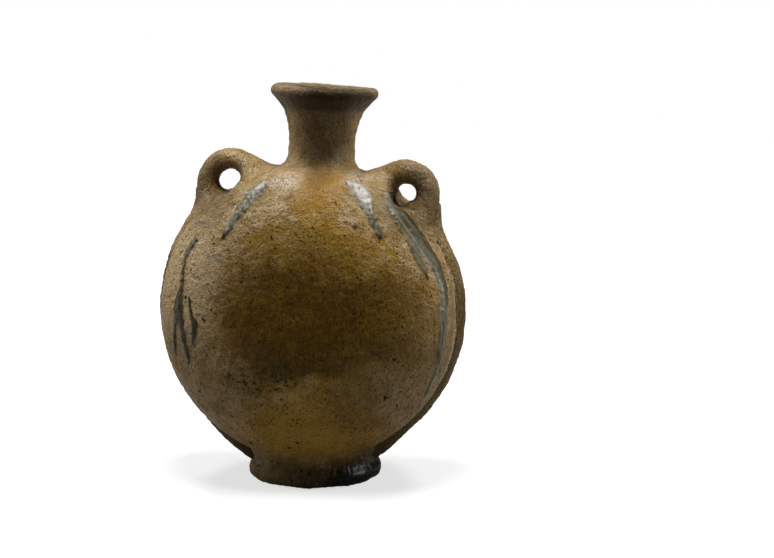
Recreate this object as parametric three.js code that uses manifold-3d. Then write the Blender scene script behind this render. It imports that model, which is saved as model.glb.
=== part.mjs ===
// Two-lugged pottery jug: a round belly of two dishes, with neck, lugs, seam strips and foot luted on.
// Millimetres, +Z up. The front faces -Y, and the seam between the dishes lies in the XZ plane.

import * as THREE from "three";
import { mergeVertices } from "three/addons/utils/BufferGeometryUtils.js";
import Module from "manifold-3d";

const wasm = await Module();
wasm.setup();

// Layer of slip in every joint
const SLIP_GAP = 0.3;

// Two dishes, lip to lip, that make the belly
const SHELL_RADIUS = 124; // outside, at the seam
const SHELL_DEPTH = 95; // seam to crown
const SHELL_FULLNESS = 2.7; // power of the section curve: 2 is an ellipse, more is squarer
const SHELL_WALL = 8;
const BELLY_LIFT = 16.5; // floor to the underside of the belly

// Neck, set off the middle and leaning to the right, with a flared rolled lip
const NECK_OFFSET = 9;
const NECK_LEAN = 3; // degrees
const NECK_RADIUS = 28.2;
const NECK_BORE = 20; // radius
const NECK_HEIGHT = 62.5; // shoulder to lip
const NECK_ENTRY = 2; // neck end standing clear inside the belly
const SWELL_RADIUS = 33.6; // outside, where the lip starts to flare
const SWELL_HEIGHT = 25;
const LIP_RADIUS = 45;
const LIP_HEIGHT = 20;
const LIP_ROLL = 5.6; // radius of the rolled edge
const NECK_COIL_RISE = 9; // up the neck
const NECK_COIL_REACH = 9; // out over the shoulder

// Lugs: a thick coil bent into an arch, standing on the seam each side of the neck
const LEFT_LUG_PLACE = -69.90393; // along the shoulder, from the top of the belly
const RIGHT_LUG_PLACE = 84.40412;
const LUG_ARCH = 19.8; // radius of the arch, to the middle of the coil
const LUG_RISE = 1; // middle of the arch above the belly
const LUG_THICKNESS = 19.6; // coil, in the plane of the arch
const LUG_WIDTH = 25; // coil, front to back
const LUG_FLARE = 12; // spread of the coil where it meets the belly
const LUG_FLARE_HEIGHT = 20; // height over which it spreads
const LUG_INNER_SHARE = 0.1; // part of that spread on the side of the eye

// Seam strips, from each lug down to the foot
const STRIP_WIDTH = 28;
const STRIP_PROUD = 6;
const LEFT_STRIP_ROOT_PROUD = 18; // at the foot end
const RIGHT_STRIP_ROOT_PROUD = 14;
const STRIP_ROOT_SWEEP = 30; // degrees over which the strip thickens

// Foot ring
const FOOT_OFFSET = 2;
const FOOT_RADIUS = 56.5; // at the bulge
const FOOT_BULGE = 4; // bulge beyond the wall above it
const FOOT_EDGE_ROUND = 4; // resting edge in from the bulge
const FOOT_WALL = 11.5;
const FOOT_BULGE_HEIGHT = 7;
const FOOT_WAIST_HEIGHT = 14;
const FOOT_COIL_FRONT_DROP = 8; // down the foot wall, at the front and back
const FOOT_COIL_SIDE_DROP = 14; // down the foot wall, under the seam strips
const FOOT_COIL_REACH = 13; // out under the belly

// Depth by which a blank runs into its neighbour before it is trimmed to it, and its thin edges do
const TRIM_DEPTH = 3;
const EDGE_DEPTH = 1;

// Facets
const ROUND_FACETS = 48;
const NECK_FACETS = 40;
const SHELL_STEPS = 10;
const COIL_STEPS = 5;
const LUG_FACETS = 14;
const LUG_ARCH_STEPS = 10;
const LUG_LEG_STEPS = 4;
const STRIP_STEP = 6; // degrees
const STRIP_CREST_STEPS = 8;
const ARC_STEPS = 5;

// Rounds in which a place on the skin is found from the place before
const SETTLE_ROUNDS = 5;

const UPRIGHT = Math.PI / 2;
const BELLY_CENTRE = BELLY_LIFT + SHELL_RADIUS;
const FOOT_WAIST = FOOT_RADIUS - FOOT_BULGE;
const FOOT_BASE = FOOT_RADIUS - FOOT_EDGE_ROUND;
const FOOT_BORE = FOOT_WAIST - FOOT_WALL;
const LEFT_LUG_TURN = LEFT_LUG_PLACE / SHELL_RADIUS; // from upright
const RIGHT_LUG_TURN = RIGHT_LUG_PLACE / SHELL_RADIUS;
const radians = THREE.MathUtils.degToRad;

// Frames: the belly about its middle, the neck on the shoulder, the lugs turned about the middle, the foot
const jug = new THREE.Group();
const bellyFrame = new THREE.Group();
bellyFrame.position.z = BELLY_CENTRE;
const neckFrame = new THREE.Group();
neckFrame.position.set(NECK_OFFSET, 0, SHELL_RADIUS);
neckFrame.rotation.y = radians(NECK_LEAN);
const leftLugFrame = new THREE.Group();
leftLugFrame.rotation.y = LEFT_LUG_TURN;
const rightLugFrame = new THREE.Group();
rightLugFrame.rotation.y = RIGHT_LUG_TURN;
const footFrame = new THREE.Group();
footFrame.position.x = FOOT_OFFSET;
bellyFrame.add(neckFrame, leftLugFrame, rightLugFrame);
jug.add(bellyFrame, footFrame);
jug.updateMatrixWorld(true);

// Closed geometry of a frame as a solid in the jug's own frame
function solidIn(frame, geometry) {
  const bare = geometry.clone().applyMatrix4(frame.matrixWorld);
  bare.deleteAttribute("normal");
  bare.deleteAttribute("uv");
  const welded = mergeVertices(bare);
  const corners = welded.index.array;
  const kept = [];
  for (let i = 0; i < corners.length; i += 3) {
    const [a, b, c] = corners.slice(i, i + 3);
    if (a !== b && b !== c && c !== a) {
      kept.push(a, b, c);
    }
  }
  const vertProperties = new Float32Array(welded.attributes.position.array);
  return new wasm.Manifold(new wasm.Mesh({ numProp: 3, vertProperties, triVerts: new Uint32Array(kept) }));
}

// Solid as a named mesh in its frame
function addPiece(frame, name, solid, material) {
  const { vertProperties, triVerts } = solid.getMesh();
  const geometry = new THREE.BufferGeometry();
  geometry.setAttribute("position", new THREE.BufferAttribute(vertProperties, 3));
  geometry.setIndex(new THREE.BufferAttribute(triVerts, 1));
  geometry.applyMatrix4(frame.matrixWorld.clone().invert());
  geometry.computeVertexNormals();
  const piece = new THREE.Mesh(geometry, new THREE.MeshStandardMaterial(material));
  piece.name = name;
  frame.add(piece);
}

// Skin through rings of points: a closed loop of rings, or a run of rings with flat ends
function loft(rings, closed) {
  const count = rings[0].length;
  const corners = [];
  const spans = closed ? rings.length : rings.length - 1;
  for (let i = 0; i < spans; i += 1) {
    const next = (i + 1) % rings.length;
    for (let j = 0; j < count; j += 1) {
      const k = (j + 1) % count;
      corners.push(i * count + j, i * count + k, next * count + j);
      corners.push(i * count + k, next * count + k, next * count + j);
    }
  }
  const last = (rings.length - 1) * count;
  for (let j = 1; j < count - 1 && !closed; j += 1) {
    corners.push(0, j + 1, j);
    corners.push(last, last + j, last + j + 1);
  }
  const geometry = new THREE.BufferGeometry().setFromPoints(rings.flat());
  geometry.setIndex(corners);
  return geometry;
}

// Lathe profile about Z
function turned(profile, facets) {
  return new THREE.LatheGeometry(profile, facets).rotateX(UPRIGHT);
}

// Radius of the belly about its own axis, at a distance from the seam
function bellyRadius(depth) {
  const share = Math.min(1, Math.abs(depth) / SHELL_DEPTH);
  return SHELL_RADIUS * (1 - share ** SHELL_FULLNESS) ** (1 / SHELL_FULLNESS);
}

// Height of the belly's skin over its middle, above or below a place in plan
function bellyHeight(x, y) {
  return Math.sqrt(Math.max(0, bellyRadius(y) ** 2 - x ** 2));
}

// Section of a dish from its lip to its crown, grown outward or inward
function shellCurve(grow) {
  const power = 2 / SHELL_FULLNESS;
  const points = [];
  for (let i = 0; i <= SHELL_STEPS; i += 1) {
    const angle = (i / SHELL_STEPS) * UPRIGHT;
    const radius = i < SHELL_STEPS ? (SHELL_RADIUS + grow) * Math.cos(angle) ** power : 0;
    points.push(new THREE.Vector2(radius, (SHELL_DEPTH + grow) * Math.sin(angle) ** power));
  }
  return points;
}

// Dish opening on the seam plane, with its crown at the back
function shellGeometry() {
  const outside = shellCurve(0);
  const inside = shellCurve(-SHELL_WALL).reverse();
  outside[0].y = SLIP_GAP / 2;
  inside.at(-1).y = SLIP_GAP / 2;
  return new THREE.LatheGeometry([...outside, ...inside, outside[0]], ROUND_FACETS);
}

// Whole outer form of the belly with its layer of slip, to which the other pieces are trimmed
function bellySolid() {
  const back = shellCurve(SLIP_GAP);
  const front = back.slice(1).reverse().map((point) => new THREE.Vector2(point.x, -point.y));
  return solidIn(bellyFrame, new THREE.LatheGeometry([...front, ...back], ROUND_FACETS));
}

// Neck from the inside of the belly to the rolled lip
const neckEdge = Math.abs(NECK_OFFSET) + NECK_RADIUS;
const neckEnd = Math.sqrt((SHELL_RADIUS - SHELL_WALL) ** 2 - neckEdge ** 2) - SHELL_RADIUS - NECK_ENTRY;

function neckGeometry() {
  const swellTop = NECK_HEIGHT - LIP_HEIGHT;
  const swellStart = swellTop - SWELL_HEIGHT;
  const rollRadius = LIP_RADIUS - LIP_ROLL;
  const rollHeight = NECK_HEIGHT - LIP_ROLL;
  const profile = new THREE.Path();
  profile.moveTo(NECK_RADIUS, neckEnd);
  profile.lineTo(NECK_RADIUS, swellStart);
  profile.quadraticCurveTo(NECK_RADIUS, swellTop - SWELL_HEIGHT / 2, SWELL_RADIUS, swellTop);
  const underlip = LIP_ROLL * Math.SQRT1_2;
  const flare = new THREE.Vector2(rollRadius + underlip, rollHeight - underlip);
  profile.quadraticCurveTo(flare.x - LIP_ROLL, flare.y - LIP_ROLL, flare.x, flare.y);
  profile.absarc(rollRadius, rollHeight, LIP_ROLL, -UPRIGHT / 2, 2 * UPRIGHT, false);
  profile.quadraticCurveTo(NECK_BORE, swellTop, NECK_BORE, swellStart);
  profile.lineTo(NECK_BORE, neckEnd);
  profile.lineTo(NECK_RADIUS, neckEnd);
  return turned(profile.getPoints(ARC_STEPS), NECK_FACETS);
}

// Straight length of the neck with its layer of slip, for the hole in the belly and the coil round it
function neckBlank() {
  const bottom = neckEnd - TRIM_DEPTH;
  const top = NECK_HEIGHT - LIP_HEIGHT - SWELL_HEIGHT;
  const radius = NECK_RADIUS + SLIP_GAP;
  const axis = [new THREE.Vector2(0, bottom), new THREE.Vector2(0, top)];
  const wall = [new THREE.Vector2(radius, bottom), new THREE.Vector2(radius, top)];
  return solidIn(neckFrame, turned([axis[0], ...wall, axis[1]], NECK_FACETS));
}

// Coil pressed into the corner between a round wall and the belly, as sections round the wall
function coilGeometry(wall, facets, grow, sectionAt) {
  const sections = [];
  for (let i = 0; i < facets; i += 1) {
    const angle = (i / facets) * 4 * UPRIGHT;
    const { wallEnd, corner, bellyEnd, side } = sectionAt(angle);
    const curve = new THREE.QuadraticBezierCurve(
      new THREE.Vector2(wall - EDGE_DEPTH + grow, wallEnd + side * grow),
      new THREE.Vector2(wall + grow, corner + side * grow),
      new THREE.Vector2(bellyEnd.x + grow, bellyEnd.y - side * (EDGE_DEPTH - grow)),
    );
    const back = [
      new THREE.Vector2(bellyEnd.x, bellyEnd.y - side * TRIM_DEPTH),
      new THREE.Vector2(wall - TRIM_DEPTH, corner - side * TRIM_DEPTH),
      new THREE.Vector2(wall - TRIM_DEPTH, wallEnd),
    ];
    const outline = [...curve.getPoints(COIL_STEPS), ...back];
    if (side < 0) {
      outline.reverse();
    }
    sections.push(outline.map(({ x, y }) => new THREE.Vector3(x * Math.cos(angle), x * Math.sin(angle), y)));
  }
  return loft(sections, true);
}

// Height of the shoulder in the leaning frame of the neck
const toBelly = neckFrame.matrix;

function shoulderAt(x, y) {
  const point = new THREE.Vector3(x, y, 0);
  for (let step = 0; step < SETTLE_ROUNDS; step += 1) {
    const place = point.clone().applyMatrix4(toBelly);
    point.z += bellyHeight(place.x, place.y) - place.z;
  }
  return point.z;
}

function neckCoilSolid(grow) {
  const geometry = coilGeometry(NECK_RADIUS, NECK_FACETS, grow, (angle) => {
    const height = (radius) => shoulderAt(radius * Math.cos(angle), radius * Math.sin(angle));
    const corner = height(NECK_RADIUS);
    const reach = NECK_RADIUS + NECK_COIL_REACH;
    const bellyEnd = new THREE.Vector2(reach, height(reach));
    return { wallEnd: corner + NECK_COIL_RISE, corner, bellyEnd, side: 1 };
  });
  return solidIn(neckFrame, geometry);
}

// Height of the belly's underside above the floor, about the foot
function undersideAt(x, y) {
  return BELLY_CENTRE - bellyHeight(x + FOOT_OFFSET, y);
}

function footCoilSolid(grow) {
  const geometry = coilGeometry(FOOT_WAIST, ROUND_FACETS, grow, (angle) => {
    const height = (radius) => undersideAt(radius * Math.cos(angle), radius * Math.sin(angle));
    const drop = THREE.MathUtils.lerp(FOOT_COIL_FRONT_DROP, FOOT_COIL_SIDE_DROP, Math.cos(angle) ** 2);
    const corner = height(FOOT_WAIST);
    const reach = FOOT_WAIST + FOOT_COIL_REACH;
    const bellyEnd = new THREE.Vector2(reach, height(reach));
    return { wallEnd: corner - drop, corner, bellyEnd, side: -1 };
  });
  return solidIn(footFrame, geometry);
}

// Foot ring, thrown tall enough to reach the belly all round
const footEdges = [undersideAt(0, FOOT_WAIST), undersideAt(FOOT_WAIST, 0), undersideAt(-FOOT_WAIST, 0)];
const footTop = Math.max(...footEdges) + TRIM_DEPTH;

function footSolid(grow) {
  const bulgeEase = (FOOT_BULGE_HEIGHT + FOOT_WAIST_HEIGHT) / 2;
  const profile = new THREE.Path();
  profile.moveTo(FOOT_BORE, 0);
  profile.lineTo(FOOT_BASE + grow, 0);
  profile.quadraticCurveTo(FOOT_RADIUS + grow, 0, FOOT_RADIUS + grow, FOOT_BULGE_HEIGHT);
  profile.quadraticCurveTo(FOOT_RADIUS + grow, bulgeEase, FOOT_WAIST + grow, FOOT_WAIST_HEIGHT);
  profile.lineTo(FOOT_WAIST + grow, footTop);
  profile.lineTo(FOOT_BORE, footTop);
  profile.lineTo(FOOT_BORE, 0);
  return solidIn(footFrame, turned(profile.getPoints(ARC_STEPS), ROUND_FACETS));
}

// Height of a point over the belly's skin, in a frame about the belly's middle
function heightOver(point) {
  return Math.hypot(point.x, point.z) - bellyRadius(point.y);
}

// Point of a lug's skin, spread away from the coil's middle as it nears the belly
function lugPoint(middle, outward, angle, grow) {
  const across = outward.clone().multiplyScalar((LUG_THICKNESS / 2 + grow) * Math.cos(angle));
  const skin = middle.clone().add(across).setY((LUG_WIDTH / 2 + grow) * Math.sin(angle));
  const away = outward.clone().multiplyScalar(Math.cos(angle)).setY(Math.sin(angle));
  const share = THREE.MathUtils.lerp(LUG_INNER_SHARE, 1, (1 + Math.cos(angle)) / 2);
  let spread = 0;
  for (let i = 0; i < SETTLE_ROUNDS; i += 1) {
    const height = heightOver(skin.clone().addScaledVector(away, spread));
    const nearness = THREE.MathUtils.clamp(1 - height / LUG_FLARE_HEIGHT, 0, 1);
    spread = (spread + LUG_FLARE * share * nearness ** 2) / 2;
  }
  return skin.addScaledVector(away, spread);
}

// Lug: up one leg, over the arch and down the other
function lugSolid(frame, grow) {
  const hub = SHELL_RADIUS + LUG_RISE;
  const spreadEdge = LUG_ARCH + LUG_THICKNESS / 2 + LUG_FLARE;
  const root = hub - Math.sqrt(SHELL_RADIUS ** 2 - spreadEdge ** 2) + TRIM_DEPTH;
  const stations = [];
  for (let i = 0; i < LUG_LEG_STEPS; i += 1) {
    stations.push({ angle: 0, drop: root * (1 - i / LUG_LEG_STEPS) });
  }
  for (let i = 0; i <= LUG_ARCH_STEPS; i += 1) {
    stations.push({ angle: (i / LUG_ARCH_STEPS) * 2 * UPRIGHT, drop: 0 });
  }
  for (let i = 1; i <= LUG_LEG_STEPS; i += 1) {
    stations.push({ angle: 2 * UPRIGHT, drop: root * (i / LUG_LEG_STEPS) });
  }
  const rings = stations.map(({ angle, drop }) => {
    const outward = new THREE.Vector3(Math.cos(angle), 0, Math.sin(angle));
    const middle = outward.clone().multiplyScalar(LUG_ARCH).add(new THREE.Vector3(0, 0, hub - drop));
    const turns = Array.from({ length: LUG_FACETS }, (_, i) => (i / LUG_FACETS) * 4 * UPRIGHT);
    return turns.map((turn) => lugPoint(middle, outward, turn, grow));
  });
  return solidIn(frame, loft(rings, false));
}

// Section of a seam strip as (radius, depth) points: rounded, its edges sunk into the belly
function stripSection(proud) {
  const points = [];
  for (let i = 0; i <= STRIP_CREST_STEPS; i += 1) {
    const angle = (i / STRIP_CREST_STEPS) * 2 * UPRIGHT;
    const depth = (-STRIP_WIDTH / 2) * Math.cos(angle);
    const rise = (proud + EDGE_DEPTH) * Math.sqrt(Math.abs(Math.sin(angle)));
    points.push(new THREE.Vector2(bellyRadius(depth) - EDGE_DEPTH + rise, depth));
  }
  const edge = bellyRadius(STRIP_WIDTH / 2) - TRIM_DEPTH;
  const before = new THREE.Vector2(edge, -STRIP_WIDTH / 2);
  const after = new THREE.Vector2(edge, STRIP_WIDTH / 2);
  return [before, ...points, after];
}

// Seam strip round one side of the belly, by its turn from upright: from a lug's outer leg to the foot wall
function stripSolid(side, lugTurn, rootProud) {
  const { radToDeg, lerp } = THREE.MathUtils;
  const start = radToDeg(Math.abs(lugTurn) + Math.atan2(LUG_ARCH, SHELL_RADIUS));
  const footMiddle = (FOOT_WAIST + FOOT_BORE) / 2 + side * FOOT_OFFSET;
  const finish = 180 - radToDeg(Math.asin(footMiddle / SHELL_RADIUS));
  const steps = Math.ceil((finish - start) / STRIP_STEP);
  const rings = [];
  for (let i = 0; i <= steps; i += 1) {
    const turn = lerp(start, finish, i / steps);
    const root = Math.max(0, 1 - (finish - turn) / STRIP_ROOT_SWEEP) ** 2;
    const section = stripSection(lerp(STRIP_PROUD, rootProud, root));
    const outward = new THREE.Vector3(side * Math.sin(radians(turn)), 0, Math.cos(radians(turn)));
    const ring = section.map((point) => outward.clone().multiplyScalar(point.x).setY(point.y));
    rings.push(side > 0 ? ring.reverse() : ring);
  }
  return solidIn(bellyFrame, loft(rings, false));
}

const belly = bellySolid();
const neckSlip = neckBlank();
const neckCoil = neckCoilSolid(0).subtract(belly).subtract(neckSlip);
const footCoil = footCoilSolid(0).subtract(belly).subtract(footSolid(SLIP_GAP));

const CLAY = { roughness: 0.5, metalness: 0 };
const OLIVE = { ...CLAY, color: 0x8d7645 };
const AMBER = { ...CLAY, color: 0x75552a };
const BROWN = { ...CLAY, color: 0x5a4324 };

const backShell = solidIn(bellyFrame, shellGeometry());
const frontShell = solidIn(bellyFrame, shellGeometry().rotateZ(2 * UPRIGHT));
addPiece(bellyFrame, "front_shell", frontShell.subtract(neckSlip), AMBER);
addPiece(bellyFrame, "back_shell", backShell.subtract(neckSlip), AMBER);

addPiece(neckFrame, "neck", solidIn(neckFrame, neckGeometry()), OLIVE);
addPiece(neckFrame, "neck_coil", neckCoil, OLIVE);

const neckCoilSlip = neckCoilSolid(SLIP_GAP);
for (const [name, frame] of [["left_lug", leftLugFrame], ["right_lug", rightLugFrame]]) {
  addPiece(frame, name, lugSolid(frame, 0).subtract(belly).subtract(neckCoilSlip), OLIVE);
}

const footCoilSlip = footCoilSolid(SLIP_GAP).add(footSolid(SLIP_GAP));
const leftBlank = stripSolid(-1, LEFT_LUG_TURN, LEFT_STRIP_ROOT_PROUD);
const leftStrip = leftBlank.subtract(lugSolid(leftLugFrame, SLIP_GAP));
const rightBlank = stripSolid(1, RIGHT_LUG_TURN, RIGHT_STRIP_ROOT_PROUD);
const rightStrip = rightBlank.subtract(lugSolid(rightLugFrame, SLIP_GAP));
addPiece(bellyFrame, "left_seam_strip", leftStrip.subtract(belly).subtract(footCoilSlip), BROWN);
addPiece(bellyFrame, "right_seam_strip", rightStrip.subtract(belly).subtract(footCoilSlip), BROWN);

addPiece(footFrame, "foot_ring", footSolid(0).subtract(belly), BROWN);
addPiece(footFrame, "foot_coil", footCoil, AMBER);

export default jug;
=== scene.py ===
import math

import bmesh
import bpy
import numpy as np
from mathutils import Matrix, Vector


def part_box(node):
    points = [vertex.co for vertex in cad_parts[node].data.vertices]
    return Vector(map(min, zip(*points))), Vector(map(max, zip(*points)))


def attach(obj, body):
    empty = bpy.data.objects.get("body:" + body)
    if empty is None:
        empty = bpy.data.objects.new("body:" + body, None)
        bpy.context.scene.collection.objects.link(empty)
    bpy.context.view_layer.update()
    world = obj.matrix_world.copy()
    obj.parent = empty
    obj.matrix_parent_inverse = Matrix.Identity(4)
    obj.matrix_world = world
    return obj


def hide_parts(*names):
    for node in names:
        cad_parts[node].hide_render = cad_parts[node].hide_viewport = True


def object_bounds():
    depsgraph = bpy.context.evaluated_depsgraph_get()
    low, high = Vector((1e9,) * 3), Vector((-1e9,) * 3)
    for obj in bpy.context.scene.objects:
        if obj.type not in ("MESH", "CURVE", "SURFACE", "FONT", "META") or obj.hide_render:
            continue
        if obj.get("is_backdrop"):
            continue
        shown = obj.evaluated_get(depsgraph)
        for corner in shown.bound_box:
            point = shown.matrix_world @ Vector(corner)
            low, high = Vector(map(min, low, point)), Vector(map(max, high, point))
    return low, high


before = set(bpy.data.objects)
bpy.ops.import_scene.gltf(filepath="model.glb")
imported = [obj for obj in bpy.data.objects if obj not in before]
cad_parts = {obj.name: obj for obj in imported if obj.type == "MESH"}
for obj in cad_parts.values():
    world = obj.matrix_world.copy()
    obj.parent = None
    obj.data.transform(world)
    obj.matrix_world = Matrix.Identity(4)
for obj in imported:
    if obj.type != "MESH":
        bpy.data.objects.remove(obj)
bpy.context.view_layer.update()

# Belly: two thrown stoneware dishes luted lip to lip, each a full dome about the Y axis with an even wall.
# The hand and the coarse clay leave soft lumps and pebbles all over, and a wood-ash glaze lies over them,
# olive-tan where it is thin and dry, amber-brown where it gathered on the middle of the dome.
dish_low, dish_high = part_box("front_shell")
BELLY_RADIUS = (dish_high.x - dish_low.x) / 2
BELLY_DEPTH = -dish_low.y
BELLY_HEIGHT = dish_low.z + BELLY_RADIUS
BELLY_FULLNESS = 2.7
WALL = 0.008
LIP_GAP = 0.00015
SKIN_CELLS = 288
INSIDE_CELLS = 48
PROFILE_STEPS = 4000
NECK_OFFSET = 0.009
NECK_LEAN = math.radians(3)
NECK_RADIUS = 0.0282
HOLE_DEPTH = 0.03
HOLE_TOP = 0.02
HOLE_SIDES = 96


def belly_radius(depth):
    """Radius of the belly about the Y axis at a distance from the seam."""
    share = np.clip(np.abs(depth) / BELLY_DEPTH, 0, 1)
    return BELLY_RADIUS * (1 - share**BELLY_FULLNESS) ** (1 / BELLY_FULLNESS)


def belly_rise(x, y):
    """Height of the belly's skin over its middle at a place in plan."""
    return np.sqrt(np.maximum(belly_radius(y) ** 2 - x**2, 0))


def dome_net(cells, inset):
    """Points of a square net wrapped on the front dome, its edge on the lip."""
    angle = np.linspace(0, np.pi / 2, PROFILE_STEPS)
    across = (BELLY_RADIUS - inset) * np.sin(angle) ** (2 / BELLY_FULLNESS)
    depth = (BELLY_DEPTH - inset) * np.cos(angle) ** (2 / BELLY_FULLNESS)
    run = np.append(0, np.cumsum(np.hypot(np.diff(across), np.diff(depth))))
    side = np.linspace(-1, 1, cells + 1)
    u, v = np.meshgrid(side, side, indexing="ij")
    x = u * np.sqrt(1 - v**2 / 2)
    z = v * np.sqrt(1 - u**2 / 2)
    share = np.maximum(np.hypot(x, z), 1e-9)
    reach = np.interp(share * run[-1], run, across) / share
    front = -np.maximum(np.interp(share * run[-1], run, depth), LIP_GAP)
    return np.stack([x * reach, front, z * reach + BELLY_HEIGHT], axis=-1).reshape(-1, 3)


def net_index(cells, start):
    """Numbers of a net's points, as a square and as the ring of its edge."""
    square = start + np.arange((cells + 1) ** 2).reshape(cells + 1, cells + 1)
    edge = [square[:-1, 0], square[-1, :-1], square[:0:-1, -1], square[0, :0:-1]]
    return square, np.concatenate(edge)


def net_faces(square):
    """Four-sided faces between the rows of a net."""
    corners = [square[:-1, :-1], square[1:, :-1], square[1:, 1:], square[:-1, 1:]]
    return np.stack(corners, -1).reshape(-1, 4)


def piece_from(name, points, faces, edges=()):
    """Object made of these points and faces, shaded smooth."""
    mesh = bpy.data.meshes.new(name)
    mesh.from_pydata(np.asarray(points).tolist(), edges, [list(map(int, face)) for face in faces])
    mesh.shade_smooth()
    piece = bpy.data.objects.new(name, mesh)
    bpy.context.scene.collection.objects.link(piece)
    return piece


def tube(name, rings, closed=False):
    """Object through rings of points: a closed loop of rings, or a run of rings with flat ends."""
    count, sides = rings.shape[:2]
    index = np.arange(count * sides).reshape(count, sides)
    rows = np.vstack([index, index[:1]]) if closed else index
    faces = net_faces(np.hstack([rows, rows[:, :1]])).tolist()
    if not closed:
        faces += [index[0].tolist(), index[-1, ::-1].tolist()]
    return faced_out(piece_from(name, rings.reshape(-1, 3), faces))


def revolved(profile, sides):
    """Points round the Z axis, a row for each angle, from (radius, height) points."""
    angle = np.linspace(0, 2 * np.pi, sides, endpoint=False)[:, None]
    radius, height = profile.T
    rows = [radius * np.cos(angle), radius * np.sin(angle), height + 0 * angle]
    return np.stack(rows, -1)


def plain(piece):
    """Works a piece's modifiers into its mesh."""
    bpy.context.view_layer.update()
    worked = piece.evaluated_get(bpy.context.evaluated_depsgraph_get())
    mesh = bpy.data.meshes.new_from_object(worked)
    piece.modifiers.clear()
    rough = piece.data
    piece.data = mesh
    bpy.data.meshes.remove(rough)
    mesh.name = piece.name
    return piece


def faced_out(piece):
    """Turns all of a closed piece's faces outward."""
    work = bmesh.new()
    work.from_mesh(piece.data)
    bmesh.ops.recalc_face_normals(work, faces=work.faces)
    work.to_mesh(piece.data)
    work.free()
    return piece


def fill(made, inputs):
    """Links or sets the inputs of a node."""
    for key, value in dict(inputs).items():
        if isinstance(value, bpy.types.NodeSocket):
            made.id_data.links.new(value, made.inputs[key])
        else:
            made.inputs[key].default_value = value


def node(tree, kind, inputs=(), **settings):
    """Outputs of a new node with its settings made and its inputs filled."""
    made = tree.nodes.new(kind)
    for name, value in settings.items():
        setattr(made, name, value)
    fill(made, inputs)
    return made.outputs


def tree_of(*values):
    """Node tree of the first socket among these values."""
    return next(value.id_data for value in values if isinstance(value, bpy.types.NodeSocket))


def maths(operation, *values):
    return node(tree_of(*values), "ShaderNodeMath", enumerate(values), operation=operation)[0]


def part_of(value, share):
    return maths("MULTIPLY", value, share)


def gained(value, gain, start):
    """A value times its gain, on top of a start."""
    return maths("MULTIPLY_ADD", value, gain, start)


def vectors(operation, *values):
    made = node(tree_of(*values), "ShaderNodeVectorMath", enumerate(values), operation=operation)
    return made["Value" if operation in ("DOT_PRODUCT", "LENGTH") else "Vector"]


def combined(**axes):
    return node(tree_of(*axes.values()), "ShaderNodeCombineXYZ", axes)[0]


def scaled(vector, size):
    inputs = {0: vector, "Scale": size}
    return node(tree_of(vector, size), "ShaderNodeVectorMath", inputs, operation="SCALE")[0]


def ease(value, low, high):
    """0 below low and 1 above high with a smooth rise between, or a fall if low is above high."""
    inputs = {"Value": value, "From Min": low, "From Max": high}
    return node(value.id_data, "ShaderNodeMapRange", inputs, interpolation_type="SMOOTHSTEP")[0]


def cloudy(place, size, detail=3.0):
    """Cloudy value about 0.5 whose patches are about this size."""
    scale = node(place.id_data, "ShaderNodeMath", {0: 1.0, 1: size}, operation="DIVIDE")[0]
    inputs = {"Vector": place, "Scale": scale, "Detail": detail}
    return node(place.id_data, "ShaderNodeTexNoise", inputs)[0]


def new_tree(name, sizes, **others):
    """Geometry node tree with these named inputs and a material; returns it with its input sockets."""
    tree = bpy.data.node_groups.new(name, "GeometryNodeTree")
    tree.interface.new_socket("Geometry", in_out="OUTPUT", socket_type="NodeSocketGeometry")
    inputs = {"Geometry": "Geometry", **dict.fromkeys(sizes, "Float"), **others, "Material": "Material"}
    for label, kind in inputs.items():
        tree.interface.new_socket(label, in_out="INPUT", socket_type="NodeSocket" + kind)
    return tree, node(tree, "NodeGroupInput")


def end_tree(geometry, material):
    """Last nodes of every tree: real, smooth geometry in its material."""
    tree = geometry.id_data
    smooth = node(tree, "GeometryNodeSetShadeSmooth", {"Geometry": geometry})[0]
    real = node(tree, "GeometryNodeRealizeInstances", {"Geometry": smooth})[0]
    worn = node(tree, "GeometryNodeSetMaterial", {"Geometry": real, "Material": material})[0]
    node(tree, "NodeGroupOutput", {"Geometry": worn})


def through(piece, tree, material, values):
    """Puts a piece through a geometry node tree once."""
    values = {**values, "Material": material}
    modifier = piece.modifiers.new(tree.name, "NODES")
    modifier.node_group = tree
    for item in tree.interface.items_tree:
        if item.in_out == "INPUT" and item.name in values:
            modifier[item.identifier] = values[item.name]
    return plain(piece)


CLAY = {"Lump Size": 0.03, "Lump Depth": 0.001, "Pebble Size": 0.0038, "Pebble Depth": 0.0008}
PRESSED_RANGE = (0.7, 0.3)
worked_clay, given = new_tree("Worked clay", CLAY)
spot = node(worked_clay, "GeometryNodeInputPosition")[0]
lump = ease(cloudy(spot, given["Lump Size"], detail=1.0), *PRESSED_RANGE)
pebble = ease(cloudy(spot, given["Pebble Size"], detail=2.0), *PRESSED_RANGE)
lump = part_of(lump, given["Lump Depth"])
pebble = part_of(pebble, given["Pebble Depth"])
sink = part_of(maths("ADD", lump, pebble), -1.0)
normal = node(worked_clay, "GeometryNodeInputNormal")[0]
pressed = {"Geometry": given["Geometry"], "Offset": scaled(normal, sink)}
pressed = node(worked_clay, "GeometryNodeSetPosition", pressed)[0]
end_tree(pressed, given["Material"])


def tint(share, below, above):
    """Mix of two colours by a share."""
    made = node(share.id_data, "ShaderNodeMix", {"Factor": share}, data_type="RGBA")
    for socket, value in zip([s for s in made[0].node.inputs if s.type == "RGBA"], (below, above)):
        if isinstance(value, bpy.types.NodeSocket):
            share.id_data.links.new(value, socket)
        else:
            socket.default_value = (*value, 1)
    return next(s for s in made if s.type == "RGBA")


def veiled(color, veil, value, low, high, share):
    """Colour with a share of another over it where a value is past a range."""
    return tint(part_of(ease(value, low, high), share), color, veil)


def fields(place, size, low, high):
    """1 in cloudy fields of about this size, 0 between them."""
    return ease(cloudy(place, size), low, high)


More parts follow.
